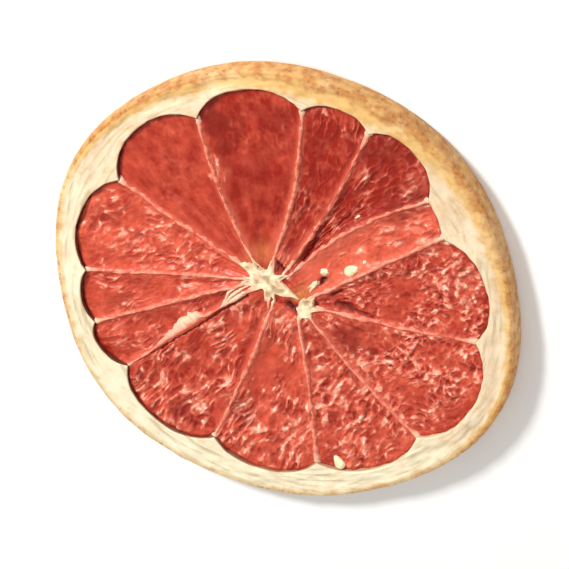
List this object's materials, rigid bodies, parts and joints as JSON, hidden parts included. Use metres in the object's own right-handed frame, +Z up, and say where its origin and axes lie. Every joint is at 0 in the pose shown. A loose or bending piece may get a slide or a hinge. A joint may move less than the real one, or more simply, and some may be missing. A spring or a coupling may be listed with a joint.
{
  "type": "dried grapefruit slice",
  "caption": "Round dried grapefruit slice with a raised ring of pith and rind, sunken pulp segments between thin membranes, a pithy core and small pips.",
  "frame": {"origin": "on the surface the slice lies on, under the middle of its outline", "axes": "+Z up through the better face; X and Y across the slice, with the membranes placed anticlockwise from +X"},
  "size_m": [0.0854, 0.0864, 0.0054],
  "materials": {
    "pulp": "dried citrus flesh: translucent, coral red, half gloss with pale flecks",
    "pith": "dried citrus pith: cream, matt and finely wrinkled",
    "rind": "dried citrus rind: golden tan, satin, pitted with brown specks",
    "membrane": "dried segment wall: thin, translucent, pale pink to cream",
    "pip": "undeveloped pip: pale cream, satin"
  },
  "bodies": {
    "root": {"slice": "pulp"}
  },
  "joints": []
}
